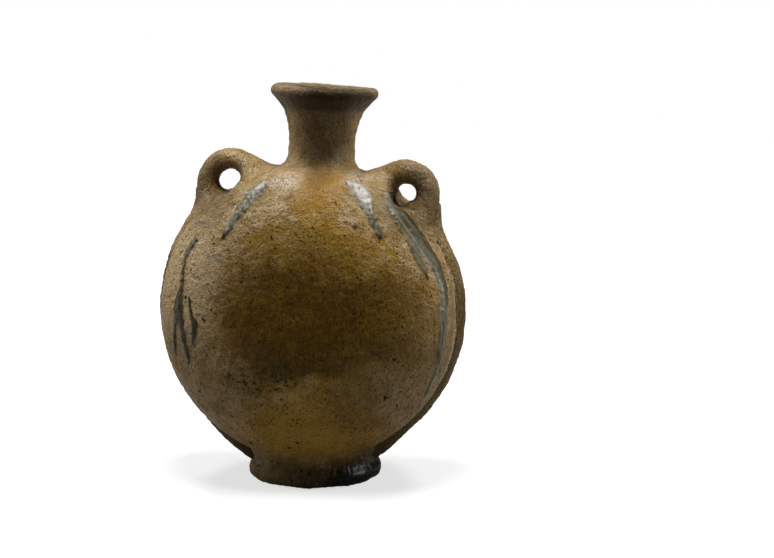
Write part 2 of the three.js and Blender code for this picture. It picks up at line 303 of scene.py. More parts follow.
def blotch(axes, middle, reach, edge, soft=0.4):
    """1 inside an egg-shaped patch seen from the front, 0 outside it, with a soft, wandering edge."""
    x = maths("DIVIDE", maths("SUBTRACT", axes["X"], middle[0]), reach[0])
    z = maths("DIVIDE", maths("SUBTRACT", axes["Z"], middle[1]), reach[1])
    squares = maths("ADD", maths("MULTIPLY", x, x), maths("MULTIPLY", z, z))
    away = maths("ADD", maths("SQRT", squares), edge)
    return ease(away, 1 + soft, 1 - soft)


def ruffled(place, size, amount, detail=2.0):
    """Place shifted to and fro, so that what is drawn there gets a broken edge."""
    inputs = {"Vector": place, "Scale": 1 / size, "Detail": detail}
    drift = node(place.id_data, "ShaderNodeTexNoise", inputs)["Color"]
    drift = vectors("SUBTRACT", drift, (0.5, 0.5, 0.5))
    return vectors("ADD", place, scaled(drift, amount))


def dots(place, ruffle, drift, spacing, reach, share, soft=0.1):
    """1 in small broken dots, scattered in a share of the cells of a net of this spacing."""
    ragged = ruffled(place, ruffle, drift)
    cells = node(place.id_data, "ShaderNodeTexVoronoi", {"Vector": ragged, "Scale": 1 / spacing})
    pick = node(place.id_data, "ShaderNodeSeparateColor", {"Color": cells["Color"]})[0]
    size = part_of(ease(pick, 1 - share, 1.0), reach)
    gap = maths("SUBTRACT", size, cells["Distance"])
    return ease(gap, 0.0, soft)


TAN = (0.42, 0.292, 0.138)
# Colour of the painted sheen on the left of the front.
LEFT_SHEEN_TAN = (0.47, 0.34, 0.175)
# Colour of the painted highlight beside the seam strips.
SEAM_HIGHLIGHT = (0.62, 0.5, 0.36)
OLIVE = (0.285, 0.183, 0.06)
AMBER = (0.1, 0.048, 0.001)
HONEY = (0.31, 0.168, 0.011)
# Colour of the painted shade on the neck's front and the low sides, and of the darker lugs.
UMBER_AND_SHADE = (0.085, 0.052, 0.02)
# Darker grey of the neck's top and the lip.
TOP_GREY = (0.1, 0.08, 0.054)
# Dark colour of the thin glaze on the foot, together with painted shade under the belly.
DARK_FOOT_AND_SHADE = (0.02, 0.01, 0.003)
ORANGE = (0.33, 0.165, 0.024)
GREEN = (0.075, 0.07, 0.028)
# Dark colour of real specks, pits and veins, and of painted shade in creases, hollows and under the lip.
SOOT_AND_SHADE = (0.016, 0.01, 0.004)
# Pale grit, and the painted glint on the blisters.
GRIT_AND_GLINT = (0.52, 0.4, 0.24)
# Colour of the painted sheen on the shoulders.
PAINTED_SHEEN_PINK = (0.62, 0.5, 0.4)
ASH_GREY = (0.15, 0.14, 0.11)

# Sizes of the glaze's cloudy textures, and how far they make the edges of its patches wander and fray.
CLOUD_SIZE = 0.045
MOTTLE_SIZE = 0.011
BUMP_SIZE = 0.0042
PEBBLE_SIZE = 0.0018
PEBBLE_RUFFLE = 0.003
GRAIN_SIZE = 0.001
DRAG_SIZE = 0.0014
DRAG_STRETCH = (1.0, 1.0, 0.2)
VEIN_SIZE = 0.006
VEIN_RANGE = (0.06, 0.02)
VEIN_FIELDS = (0.0035, 0.38, 0.5)
MARK_FIELDS = (0.005, 0.35, 0.6)
WANDER = 1.3
FRAY = 0.4
HONEY_FRAY = 0.75
THICK_FRAY = 0.6
RIDGE_FRAY = 0.35

# Ranges of a texture in which a tint comes in, and its share where a third value stands.
TAN_MOTTLE = (0.32, 0.66, 1.0)
AMBER_MOTTLE = (0.45, 0.75, 0.2)
MOSS_MOTTLE = (0.4, 0.6)
GLOSS_MOTTLE = (0.35, 0.6)
PEBBLE_GRIT = (0.6, 0.9, 0.16)
PEBBLE_SHEEN_RANGE = (0.4, 0.8)
PEBBLE_CREASE_SHADE = (0.5, 0.25, 0.25)
GRAIN_HOLLOW_SHADE = (0.47, 0.3, 0.42)
DRAG_SOOT = (0.55, 0.3)
DRAG_SHARES = (0.3, 0.15)
THICK_SHARE = 0.95
MOSS_SHARE = 0.4
VEIN_SHARE = 0.9
PAINTED_SHEEN_SHARE = 0.75
SEAM_HIGHLIGHT_SHARE = 0.6
PIT_SHARE = 0.95
BLISTER_GLINT_SHARE = 0.5
GLOSS_SHARE = 0.35

# Patches as seen from the front: the middle, the reach and, where a third value stands, how strong it is.
HONEY_PATCHES = (
    ((0.018, 0.222), (0.02, 0.04), 0.8),
    ((0.018, 0.148), (0.082, 0.064), 0.8),
    ((0.026, 0.2), (0.056, 0.024), 0.8),
    ((0.014, 0.054), (0.06, 0.034), 0.8),
)
# Painted sheen: a paler patch on the left of the front, where the side light falls.
LEFT_SHEEN_PATCH = ((-0.088, 0.17), (0.03, 0.05), 0.9)
THICK_PATCH = ((0.004, 0.147), (0.068, 0.054))
THICK_RIDGE = ((0.012, 0.165), (0.11, 0.063))
THIN_PATCH = ((0.074, 0.146), (0.034, 0.036), 0.6)
RUST_PATCH = ((0.024, 0.243), (0.02, 0.02), 0.55)
MOSS_PATCH = ((-0.026, 0.1), (0.036, 0.012))
# Painted shade on the front of the neck and low on both sides of the belly, where less light falls; the two
# patches over the lugs darken them.
UMBER_AND_SHADE_PATCHES = (
    ((0.015, 0.295), (0.022, 0.038), 0.8),
    ((-0.08, 0.25), (0.027, 0.03), 0.6),
    ((0.092, 0.24), (0.03, 0.031), 0.65),
    ((-0.068, 0.092), (0.05, 0.045), 0.4),
    ((0.072, 0.088), (0.05, 0.045), 0.45),
)
# Painted sheen: pinkish-white highlights on the shoulders either side of the neck, where the glaze is
# glossier too.
SHEENS = (((-0.012, 0.252), (0.013, 0.006)), ((0.044, 0.254), (0.01, 0.006)))
MARKS = (
    ((0.036, 0.187), (0.0024, 0.0022), 0.4, ASH_GREY),
    ((0.0385, 0.168), (0.0014, 0.02), 0.16, ASH_GREY),
    ((-0.086, 0.218), (0.007, 0.003), 0.6, ASH_GREY),
    ((-0.064, 0.194), (0.007, 0.004), 0.6, ASH_GREY),
    ((-0.0505, 0.2345), (0.003, 0.001), 0.9, SOOT_AND_SHADE),
    ((-0.034, 0.231), (0.003, 0.001), 0.9, SOOT_AND_SHADE),
)
# Dark glaze with painted shade on the front of the lip and just under its roll; darker at the low end of
# the amber patch and on the foot's waist beside the pool.
DARK_GLAZE_AND_SHADE_PATCHES = (
    ((0.016, 0.315), (0.042, 0.008), 0.7),
    ((0.024, 0.323), (0.022, 0.007), 0.75),
    ((0.006, 0.117), (0.05, 0.016), 0.25),
    ((0.054, 0.02), (0.03, 0.012), 0.6),
)
BLISTER_PATCH = ((0.022, 0.204), (0.07, 0.022))

# Depths, distances from the seam and heights between which a look comes in or goes.
BACK_RANGE = (-0.02, 0.04)
BACK_DRIFT = (0.04, 0.0, 0.022)
SEAM_HIGHLIGHT_FROM = (0.0115, 0.0145)
SEAM_HIGHLIGHT_TO = (0.024, 0.017)
SEAM_HIGHLIGHT_TOP = (0.19, 0.11)
SEAM_HIGHLIGHT_END = (0.025, 0.05)
TOP_GREY_RANGE = (0.294, 0.314, 0.6)
DARK_FOOT_AND_SHADE_RANGE = (0.034, 0.012)
DARK_FOOT_AND_SHADE_SHARES = (5.0, 0.8)
LEVEL_WANDER = 0.012
FEWER_PITS = (0.25, 0.2)
LESS_RELIEF = (0.26, 0.22)
GLOSS_FROM = (0.15, 0.21)
GLOSS_TO = (0.29, 0.26)
GLOSS_WANDER = 0.03

# Pits and blisters: what ruffles their edges and how far, their spacing, and how large and many they are.
PINHOLES = {"ruffle": 0.0015, "drift": 0.003, "spacing": 0.0026, "reach": 0.37, "share": 0.5}
PORES = {"ruffle": 0.001, "drift": 0.002, "spacing": 0.0021, "reach": 0.38, "share": 0.75}
CHIPS = {"ruffle": 0.0025, "drift": 0.007, "spacing": 0.008, "reach": 0.26, "share": 0.3}
BLISTERS = {"ruffle": 0.004, "drift": 0.003, "spacing": 0.0034, "reach": 0.24, "share": 0.45}
PINHOLE_FIELDS = (0.016, 0.36, 0.56)
PORE_FIELDS = (0.02, 0.36, 0.56)

# How rough the glaze is, and how far each texture stands out of it or sinks in.
ROUGHNESS = (0.34, 0.18)
PIT_ROUGHNESS = 0.5
BUMP_RELIEF = 1.4
PEBBLE_RELIEF = 0.5
GRAIN_RELIEF = 0.7
THICK_RELIEF = -0.35
PIT_RELIEF = -0.5
TOP_RELIEF = 0.6

glaze = bpy.data.node_groups.new("Ash glaze", "ShaderNodeTree")
for label, kind in (("Color", "Color"), ("Roughness", "Float"), ("Gloss", "Float"), ("Height", "Float")):
    glaze.interface.new_socket(label, in_out="OUTPUT", socket_type="NodeSocket" + kind)
place = node(glaze, "ShaderNodeTexCoord")["Object"]
_, deep, tall = node(glaze, "ShaderNodeSeparateXYZ", {"Vector": place})
drifted = vectors("ADD", place, scaled(BACK_DRIFT, ease(deep, *BACK_RANGE)))
axes = node(glaze, "ShaderNodeSeparateXYZ", {"Vector": drifted})
cloud = cloudy(place, CLOUD_SIZE, detail=5.0)
mottle = cloudy(place, MOTTLE_SIZE, detail=5.0)
grain = cloudy(place, GRAIN_SIZE)
drag = cloudy(vectors("MULTIPLY", place, DRAG_STRETCH), DRAG_SIZE)
inputs = {"Vector": ruffled(place, PEBBLE_RUFFLE, PEBBLE_RUFFLE), "Scale": 1 / PEBBLE_SIZE}
pebble = node(glaze, "ShaderNodeTexVoronoi", inputs)["Distance"]
pebble = maths("SUBTRACT", 1.0, pebble)
wander = part_of(maths("SUBTRACT", cloud, 0.5), WANDER)
fray = gained(maths("SUBTRACT", mottle, 0.5), FRAY, wander)
level = gained(wander, LEVEL_WANDER, tall)


def stained(color, stain, middle, reach, share, edge=wander, soft=0.4):
    """Colour with a patch of another over it."""
    return tint(part_of(blotch(axes, middle, reach, edge, soft), share), color, stain)


color = veiled(OLIVE, TAN, mottle, *TAN_MOTTLE)
color = veiled(color, GRIT_AND_GLINT, pebble, *PEBBLE_GRIT)
for patch in HONEY_PATCHES:
    color = stained(color, HONEY, *patch, edge=part_of(fray, HONEY_FRAY))
# Painted sheen on the left of the front.
color = stained(color, LEFT_SHEEN_TAN, *LEFT_SHEEN_PATCH)
thick = blotch(axes, *THICK_PATCH, part_of(fray, THICK_FRAY), soft=0.5)
thick = part_of(thick, blotch(axes, *THICK_RIDGE, part_of(fray, RIDGE_FRAY), soft=0.12))
amber = veiled(AMBER, HONEY, mottle, *AMBER_MOTTLE)
color = tint(part_of(thick, THICK_SHARE), color, amber)
color = stained(color, AMBER, *THIN_PATCH, soft=0.6)
color = stained(color, ORANGE, *RUST_PATCH)
moss = blotch(axes, *MOSS_PATCH, wander)
veins = maths("ABSOLUTE", maths("SUBTRACT", cloudy(place, VEIN_SIZE, detail=2.0), 0.5))
veins = part_of(moss, ease(veins, *VEIN_RANGE))
veins = part_of(veins, fields(place, *VEIN_FIELDS))
moss = part_of(moss, ease(mottle, *MOSS_MOTTLE))
color = tint(part_of(moss, MOSS_SHARE), color, GREEN)
color = tint(part_of(veins, VEIN_SHARE), color, SOOT_AND_SHADE)
# Painted shade on the neck's front and the belly's low sides; darker lugs.
for patch in UMBER_AND_SHADE_PATCHES:
    color = stained(color, UMBER_AND_SHADE, *patch)
sheens = 0.0
for patch in SHEENS:
    sheens = maths("MAXIMUM", blotch(axes, *patch, wander, soft=0.6), sheens)
# Painted sheen, strongest on the pebble tops.
painted_sheen = part_of(sheens, part_of(ease(pebble, *PEBBLE_SHEEN_RANGE), PAINTED_SHEEN_SHARE))
color = tint(painted_sheen, color, PAINTED_SHEEN_PINK)
for middle, reach, share, stain in MARKS:
    mark = blotch(axes, middle, reach, wander, soft=0.7)
    mark = part_of(mark, fields(place, *MARK_FIELDS))
    color = tint(part_of(mark, share), color, stain)
# Painted highlight: a pale line on the shell beside each seam strip, low on the belly.
apart = maths("ABSOLUTE", deep)
painted_highlight_margin = part_of(ease(apart, *SEAM_HIGHLIGHT_FROM), ease(apart, *SEAM_HIGHLIGHT_TO))
painted_highlight_margin = part_of(painted_highlight_margin, part_of(ease(tall, *SEAM_HIGHLIGHT_TOP), ease(tall, *SEAM_HIGHLIGHT_END)))
color = tint(part_of(painted_highlight_margin, SEAM_HIGHLIGHT_SHARE), color, SEAM_HIGHLIGHT)
# Darker and greyer towards the top of the neck and over the lip.
color = veiled(color, TOP_GREY, level, *TOP_GREY_RANGE)
# Dark glaze and painted shade on the lip's front, and the other dark patches.
for patch in DARK_GLAZE_AND_SHADE_PATCHES:
    color = stained(color, SOOT_AND_SHADE, *patch)
# Dark, thin glaze on the foot and the bottom of the belly, with painted shade under the belly, stronger
# towards the right.
low = part_of(ease(level, *DARK_FOOT_AND_SHADE_RANGE), gained(axes["X"], *DARK_FOOT_AND_SHADE_SHARES))
color = tint(low, color, DARK_FOOT_AND_SHADE)
color = tint(part_of(ease(drag, *DRAG_SOOT), gained(thick, *DRAG_SHARES)), color, SOOT_AND_SHADE)
# Painted shade in the hollows of the fine grain, showing as dark specks, and in the creases between the
# pebbles.
color = veiled(color, SOOT_AND_SHADE, grain, *GRAIN_HOLLOW_SHADE)
color = veiled(color, SOOT_AND_SHADE, pebble, *PEBBLE_CREASE_SHADE)
pits = dots(place, **CHIPS)
for holes, field in ((PINHOLES, PINHOLE_FIELDS), (PORES, PORE_FIELDS)):
    pits = maths("MAXIMUM", pits, part_of(dots(place, **holes), fields(place, *field)))
pits = part_of(pits, gained(ease(tall, *FEWER_PITS), 0.5, 0.5))
color = tint(part_of(pits, PIT_SHARE), color, SOOT_AND_SHADE)
# Raised blisters with a painted glint in grit colour on their tops.
blisters = part_of(dots(place, **BLISTERS), blotch(axes, *BLISTER_PATCH, wander, soft=0.6))
color = tint(part_of(blisters, BLISTER_GLINT_SHARE), color, GRIT_AND_GLINT)
rough = gained(pits, PIT_ROUGHNESS, gained(mottle, *ROUGHNESS))
height = gained(cloudy(place, BUMP_SIZE, detail=2.0), BUMP_RELIEF, part_of(pebble, PEBBLE_RELIEF))
height = gained(grain, GRAIN_RELIEF, height)
height = part_of(height, gained(thick, THICK_RELIEF, 1.0))
height = part_of(height, gained(ease(tall, *LESS_RELIEF), 1 - TOP_RELIEF, TOP_RELIEF))
height = gained(pits, PIT_RELIEF, maths("ADD", height, blisters))
gloss = part_of(ease(gained(wander, GLOSS_WANDER, tall), *GLOSS_FROM), ease(tall, *GLOSS_TO))
gloss = part_of(gloss, part_of(ease(mottle, *GLOSS_MOTTLE), GLOSS_SHARE))
gloss = maths("MAXIMUM", gloss, maths("MAXIMUM", sheens, blisters))
gloss = part_of(gloss, maths("SUBTRACT", 1.0, pits))
node(glaze, "NodeGroupOutput", {"Color": color, "Roughness": rough, "Gloss": gloss, "Height": height})


def glazed(name):
    """Material in the jug's glaze; returns its shader and the glaze's own outputs too."""
    material = bpy.data.materials.new(name)
    material.use_nodes = True
    tree = material.node_tree
    surface = tree.nodes["Principled BSDF"]
    coat = node(tree, "ShaderNodeGroup", node_tree=glaze)
    relief = node(tree, "ShaderNodeBump", {"Strength": 1.0, "Distance": 0.0016, "Height": coat["Height"]})
    fill(surface, {
        "Base Color": coat["Color"],
        "Roughness": coat["Roughness"],
        "Normal": relief[0],
        "Coat Weight": coat["Gloss"],
        "Coat Normal": relief[0],
        "Coat Roughness": 0.22,
        "Specular IOR Level": 0.09,
        "Specular Tint": (1.0, 0.88, 0.7, 1.0),
    })
    return material, surface, coat


ash_glaze = glazed("Ash glaze")[0]


def fixed(piece, node_name):
    """Hangs a piece on the root and hides the part of that name that it stands for."""
    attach(piece, "root")
    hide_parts(node_name)


LUG_TURNS = {"left_lug": math.radians(-32.3), "right_lug": math.radians(39)}
EYE_DEPTHS = {"left_lug": 0.006, "right_lug": 0.008}
EYE_REACH = 0.011
EYE_LENGTH = 0.058


def thumbed(points):
    """Points of the wall with a shallow hollow pressed in below the eye of each lug."""
    for lug_name, lug_turn in LUG_TURNS.items():
        toward = np.array([math.sin(lug_turn), 0, math.cos(lug_turn)])
        sideways = np.array([math.cos(lug_turn), 0, -math.sin(lug_turn)])
        from_middle = points - (0, 0, BELLY_HEIGHT)
        across = np.clip(from_middle @ sideways / EYE_REACH, -1, 1)
        along = np.clip(points[:, 1] / EYE_LENGTH, -1, 1)
        hollow = (1 - across**2) ** 2 * (1 - along**2) ** 2 * (from_middle @ toward > 0)
        points = points - EYE_DEPTHS[lug_name] * hollow[:, None] * toward
    return points


skin = thumbed(dome_net(SKIN_CELLS, 0))
inside = thumbed(dome_net(INSIDE_CELLS, WALL))
skin_square, skin_edge = net_index(SKIN_CELLS, 0)
inside_square, inside_edge = net_index(INSIDE_CELLS, len(skin))
stitch = SKIN_CELLS // INSIDE_CELLS
dish_faces = [*net_faces(skin_square), *net_faces(inside_square)[:, ::-1]]
for k, rim in enumerate(skin_edge):
    after = (k + 1) % len(skin_edge)
    corner = inside_edge[k // stitch]
    dish_faces.append([rim, corner, skin_edge[after]])
    if after % stitch == 0:
        dish_faces.append([skin_edge[after], corner, inside_edge[after // stitch]])

shoulder = Matrix.Translation((NECK_OFFSET, 0, BELLY_HEIGHT + BELLY_RADIUS))
neck_frame = np.array(shoulder @ Matrix.Rotation(NECK_LEAN, 4, "Y"))


def about_neck(points):
    """Points of the neck's own leaning frame, in the jug's."""
    return points @ neck_frame[:3, :3].T + neck_frame[:3, 3]


bore = revolved(np.array([[NECK_RADIUS, -HOLE_DEPTH], [NECK_RADIUS, HOLE_TOP]]), HOLE_SIDES)
cutter = tube("neck hole", about_neck(bore).transpose(1, 0, 2))
dishes = {}
for name, facing in (("front_shell", 1), ("back_shell", -1)):
    points = np.vstack([skin, inside]) * (1, facing, 1)
    dish = piece_from("made_" + name, points, [face[::facing] for face in dish_faces])
    through(dish, worked_clay, ash_glaze, CLAY)
    cut = dish.modifiers.new("neck hole", "BOOLEAN")
    cut.object = cutter
    cut.solver = "MANIFOLD"
    dishes[name] = plain(dish)
    fixed(dish, name)
bpy.data.objects.remove(cutter)

# Neck: a thrown tube with faint throwing rings, swelling to a flared lip with a rolled edge.
# It leans to the right, and its lower end stands in the hole through both dishes.
NECK_BORE = 0.02
NECK_RISE = 0.0625
NECK_END = -0.0155
SWELL_RADIUS = 0.0336
SWELL_HEIGHT = 0.025
LIP_RADIUS = 0.045
LIP_HEIGHT = 0.02
LIP_ROLL = 0.0056
RING_SPACING = 0.0066
RING_DEPTH = 0.00016
RING_WANDER = 1.5
RING_WANDER_RATE = 170
RINGS_FROM = (0.004, 0.014)
NECK_SIDES = 224
WALL_STEPS = 40
SWELL_STEPS = 34
FLARE_STEPS = 22
ROLL_STEPS = 28
THROAT_STEPS = 30
BORE_STEPS = 16


def bend(start, corner, end, count):
    """Points of a curve that leaves start towards a corner and comes to its end from there."""
    t = np.linspace(0, 1, count)[:, None]
    return (1 - t) ** 2 * np.array(start) + 2 * t * (1 - t) * np.array(corner) + t**2 * np.array(end)


swell_top = NECK_RISE - LIP_HEIGHT
swell_start = swell_top - SWELL_HEIGHT
swell_corner = (NECK_RADIUS, swell_top - SWELL_HEIGHT / 2)
roll_middle = np.array([LIP_RADIUS - LIP_ROLL, NECK_RISE - LIP_ROLL])
underlip = roll_middle + LIP_ROLL * math.sqrt(0.5) * np.array([1, -1])
throat = (NECK_BORE, swell_start)
roll_turn = np.linspace(-np.pi / 4, np.pi, ROLL_STEPS)
neck_profile = np.vstack([
    np.linspace((NECK_RADIUS, NECK_END), (NECK_RADIUS, swell_start), WALL_STEPS),
    bend((NECK_RADIUS, swell_start), swell_corner, (SWELL_RADIUS, swell_top), SWELL_STEPS)[1:],
    bend((SWELL_RADIUS, swell_top), underlip - LIP_ROLL, underlip, FLARE_STEPS)[1:],
    (roll_middle + LIP_ROLL * np.stack([np.cos(roll_turn), np.sin(roll_turn)], -1))[1:],
    bend(roll_middle - (LIP_ROLL, 0), (NECK_BORE, swell_top), throat, THROAT_STEPS)[1:],
    np.linspace(throat, (NECK_BORE, NECK_END), BORE_STEPS)[1:],
])
up = neck_profile[:, 1]
grooves = 1 + np.sin(2 * np.pi * up / RING_SPACING + RING_WANDER * np.sin(RING_WANDER_RATE * up))
ringed = np.interp(up, (*RINGS_FROM, swell_top, NECK_RISE - 2 * LIP_ROLL), (0, 1, 1, 0))
neck_profile[:, 0] -= RING_DEPTH * grooves * ringed
neck = tube("made_neck", about_neck(revolved(neck_profile, NECK_SIDES)), closed=True)
NECK_CLAY = {**CLAY, "Pebble Size": 0.0045, "Pebble Depth": 0.0003}
through(neck, worked_clay, ash_glaze, NECK_CLAY)
fixed(neck, "neck")

# Neck coil: a thin roll of clay pressed into the corner between neck and shoulder and smoothed to a hollow.
# Its thin edges run out just under the skin of both, so that no joint shows.
COIL_RISE = 0.011
COIL_REACH = 0.011
COIL_SINK = 0.0003
COIL_BACK = 0.003
COIL_STEPS = 22
SETTLE_STEPS = 6
around_neck = np.linspace(0, 2 * np.pi, NECK_SIDES, endpoint=False)


def shoulder_height(radius, angle):
    """Height of the shoulder in the neck's frame at a place round the neck."""
    point = np.stack([radius * np.cos(angle), radius * np.sin(angle), 0 * angle], -1)
    for _ in range(SETTLE_STEPS):
        placed = about_neck(point)
        point[:, 2] += BELLY_HEIGHT + belly_rise(placed[:, 0], placed[:, 1]) - placed[:, 2]
    return point[:, 2]


def corner_coil(angle, wall, wall_end, corner, far, far_end, side):
    """Rings of a coil in the corner of a round wall, hollow outside and sunk into wall and belly behind."""
    sections = []
    for end, height, outer in zip(wall_end, corner, far_end):
        face = bend((wall - COIL_SINK, end), (wall, height), (far, outer - side * COIL_SINK), COIL_STEPS)
        back = [
            (far, outer - side * COIL_BACK),
            (wall - COIL_BACK, height - side * COIL_BACK),
            (wall - COIL_BACK, end),
        ]
        sections.append(np.vstack([face, back]))
    radius, height = np.moveaxis(np.array(sections), -1, 0)
    return np.stack([radius * np.cos(angle)[:, None], radius * np.sin(angle)[:, None], height], -1)


corner = shoulder_height(NECK_RADIUS, around_neck)
far = NECK_RADIUS + COIL_REACH
far_end = shoulder_height(far, around_neck)
coil_rings = corner_coil(around_neck, NECK_RADIUS, corner + COIL_RISE, corner, far, far_end, 1)
neck_coil = tube("made_neck_coil", about_neck(coil_rings), closed=True)
through(neck_coil, worked_clay, ash_glaze, CLAY)
fixed(neck_coil, "neck_coil")

# Lugs: a thick roll of clay bent into an arch each side of the neck, its legs worked out over the shoulder.
# The tree rolls the coil along its route and spreads it in a hollow sweep where it comes down to the belly.
LUG_ARCHES = {"left_lug": 0.0204, "right_lug": 0.0189}
LUG_THICKNESSES = {"left_lug": 0.0183, "right_lug": 0.0202}
LUG_RISES = {"left_lug": 0.0005, "right_lug": 0.0015}
LUG_ROOT = 0.016
LEG_STEPS = 44
ARCH_STEPS = 70
COIL_SIZES = ("Thickness", "Width", "Flare", "Front Flare", "Flare Height", "Inner Share")


def route(name, points, **values):
    """Object of points joined in a row, with values at the points."""
    path = piece_from(name, points, [], [(k, k + 1) for k in range(len(points) - 1)])
    for label, value in values.items():
        value = np.asarray(value, dtype=np.float32)
        kind, key = ("FLOAT_VECTOR", "vector") if value.ndim == 2 else ("FLOAT", "value")
        path.data.attributes.new(label, kind, "POINT").data.foreach_set(key, value.ravel())
    return path


def attribute(tree, name, kind="FLOAT"):
    return node(tree, "GeometryNodeInputNamedAttribute", {"Name": name}, data_type=kind)[0]


def kept(geometry, name, value, kind="FLOAT"):
    """Geometry with a value stored at its points."""
    inputs = {"Geometry": geometry, "Name": name, "Value": value}
    return node(geometry.id_data, "GeometryNodeStoreNamedAttribute", inputs, data_type=kind)[0]


def rolled(path, sides):
    """Tube along a path whose points know its middle, and the cosine and sine of their turn round it."""
    tree = path.id_data
    middle = node(tree, "GeometryNodeInputPosition")[0]
    path = kept(path, "middle", middle, "FLOAT_VECTOR")
    ring = node(tree, "GeometryNodeCurvePrimitiveCircle", {"Resolution": sides})[0]
    share = node(tree, "GeometryNodeSplineParameter")["Factor"]
    ring = kept(ring, "turn", part_of(share, 2 * math.pi))
    inputs = {"Curve": path, "Profile Curve": ring, "Fill Caps": True}
    turn = attribute(tree, "turn")
    return node(tree, "GeometryNodeCurveToMesh", inputs)[0], maths("COSINE", turn), maths("SINE", turn)


def belly_radius_nodes(depth):
    """The belly's radius about the Y axis, as nodes."""
    share = maths("DIVIDE", maths("ABSOLUTE", depth), BELLY_DEPTH)
    left = maths("SUBTRACT", 1.0, maths("POWER", share, BELLY_FULLNESS))
    return part_of(maths("POWER", left, 1 / BELLY_FULLNESS), BELLY_RADIUS)


def off_axis(spot):
    """A spot's way out from the belly's Y axis, and its depth along that axis."""
    away = vectors("SUBTRACT", spot, (0, 0, BELLY_HEIGHT))
    away = vectors("MULTIPLY", away, (1, 0, 1))
    return away, node(spot.id_data, "ShaderNodeSeparateXYZ", {"Vector": spot})["Y"]


bent_coil, given = new_tree("Bent coil", COIL_SIZES, Sides="Int")
path = node(bent_coil, "GeometryNodeMeshToCurve", {"Mesh": given["Geometry"]})[0]
roll, cosine, sine = rolled(path, given["Sides"])
outward = attribute(bent_coil, "outward", "FLOAT_VECTOR")
middle = attribute(bent_coil, "middle", "FLOAT_VECTOR")
half_thickness = part_of(given["Thickness"], part_of(cosine, 0.5))
half_width = part_of(given["Width"], part_of(sine, 0.5))
coil_skin = vectors("ADD", middle, scaled(outward, half_thickness))
coil_skin = vectors("ADD", coil_skin, combined(Y=half_width))
from_axis, depth = off_axis(coil_skin)
over = maths("SUBTRACT", vectors("LENGTH", from_axis), belly_radius_nodes(depth))
near = maths("SUBTRACT", 1.0, maths("DIVIDE", over, given["Flare Height"]))
near = node(bent_coil, "ShaderNodeClamp", {"Value": near})[0]
hollow = maths("SUBTRACT", 1.0, maths("MULTIPLY", near, near))
spread = maths("SUBTRACT", 1.0, maths("SQRT", hollow))
inputs = {"Value": gained(cosine, 0.5, 0.5), "To Min": given["Inner Share"]}
share = node(bent_coil, "ShaderNodeMapRange", inputs)[0]
side_flare = part_of(given["Flare"], share)
front_flare = part_of(given["Front Flare"], share)
across = combined(Y=part_of(sine, front_flare))
away = vectors("ADD", scaled(outward, part_of(cosine, side_flare)), across)
radial = vectors("NORMALIZE", from_axis)
lift = scaled(radial, vectors("DOT_PRODUCT", away, radial))
along_skin = vectors("SUBTRACT", away, lift)
spot = vectors("ADD", coil_skin, scaled(along_skin, spread))
from_axis, depth = off_axis(spot)
seat = maths("ADD", belly_radius_nodes(depth), over)
seat = scaled(vectors("NORMALIZE", from_axis), seat)
spot = vectors("ADD", seat, combined(Y=depth, Z=BELLY_HEIGHT))
coil = node(bent_coil, "GeometryNodeSetPosition", {"Geometry": roll, "Position": spot})[0]
end_tree(coil, given["Material"])
LUG_SIZES = {
    "Width": 0.025,
    "Flare": 0.016,
    "Front Flare": 0.034,
    "Flare Height": 0.022,
    "Inner Share": 0.22,
    "Sides": 84,
}
LUG_CLAY = {**CLAY, "Pebble Depth": 0.00055}

for name, lug_turn in LUG_TURNS.items():
    leg = np.linspace(LUG_ROOT, 0, LEG_STEPS, endpoint=False)
    bow = np.linspace(0, np.pi, ARCH_STEPS + 1)
    bow = np.concatenate([0 * leg, bow, np.pi + 0 * leg])
    drop = np.concatenate([leg, np.zeros(ARCH_STEPS + 1), leg[::-1]])
    facing = np.stack([np.cos(bow), 0 * bow, np.sin(bow)], -1)
    hub = BELLY_RADIUS + LUG_RISES[name]
    middles = LUG_ARCHES[name] * facing + np.stack([0 * drop, 0 * drop, hub - drop], -1)
    leaning = np.array(Matrix.Rotation(lug_turn, 3, "Y")).T
    lug = route("made_" + name, middles @ leaning + (0, 0, BELLY_HEIGHT), outward=facing @ leaning)
    through(lug, bent_coil, ash_glaze, {**LUG_SIZES, "Thickness": LUG_THICKNESSES[name]})
    through(faced_out(lug), worked_clay, ash_glaze, LUG_CLAY)
    fixed(lug, name)

# Seam strips: a flattened strip of clay over the seam of the dishes, from each lug down to the foot.
# It thickens at its foot end. Its glaze is thin, so that the brown clay shows through; its pale edges are a
# painted highlight.
STRIP_ROUND = 1.5
STRIP_TOP_END = math.radians(21)
STRIP_TOP_SWEEP = math.radians(9.3)
STRIP_TOP_PROUD = 0.017
STRIP_FADE = math.radians(32)
STRIP_PROUD = 0.0059
STRIP_ROOT_PROUD = {"left_seam_strip": 0.018, "right_seam_strip": 0.014}
STRIP_ROOT_SWEEP = {"left_seam_strip": math.radians(46), "right_seam_strip": math.radians(30)}
STRIP_STEPS = 190
STRIP_SIZES = {"Width": 0.028, "Edge": 0.001, "Sides": 56}
FOOT_OFFSET = 0.002
FOOT_WAIST = 0.0525
FOOT_BORE = 0.041
BROWN = (0.09, 0.052, 0.014)
# Colour of the painted highlight along the strip's edges.
EDGE_HIGHLIGHT_TAN = (0.55, 0.44, 0.28)
PATCHY_SIZE = 0.012
PATCHY_FADE = 0.4
PATCHY_EDGE = 0.3
EDGE_HIGHLIGHT_RANGE = (0.4, 0.15)
EDGE_HIGHLIGHT_SHARE = 0.75
BAND_RANGE = (0.2, 0.42)
BAND_SHARES = (0.8, 0.9)

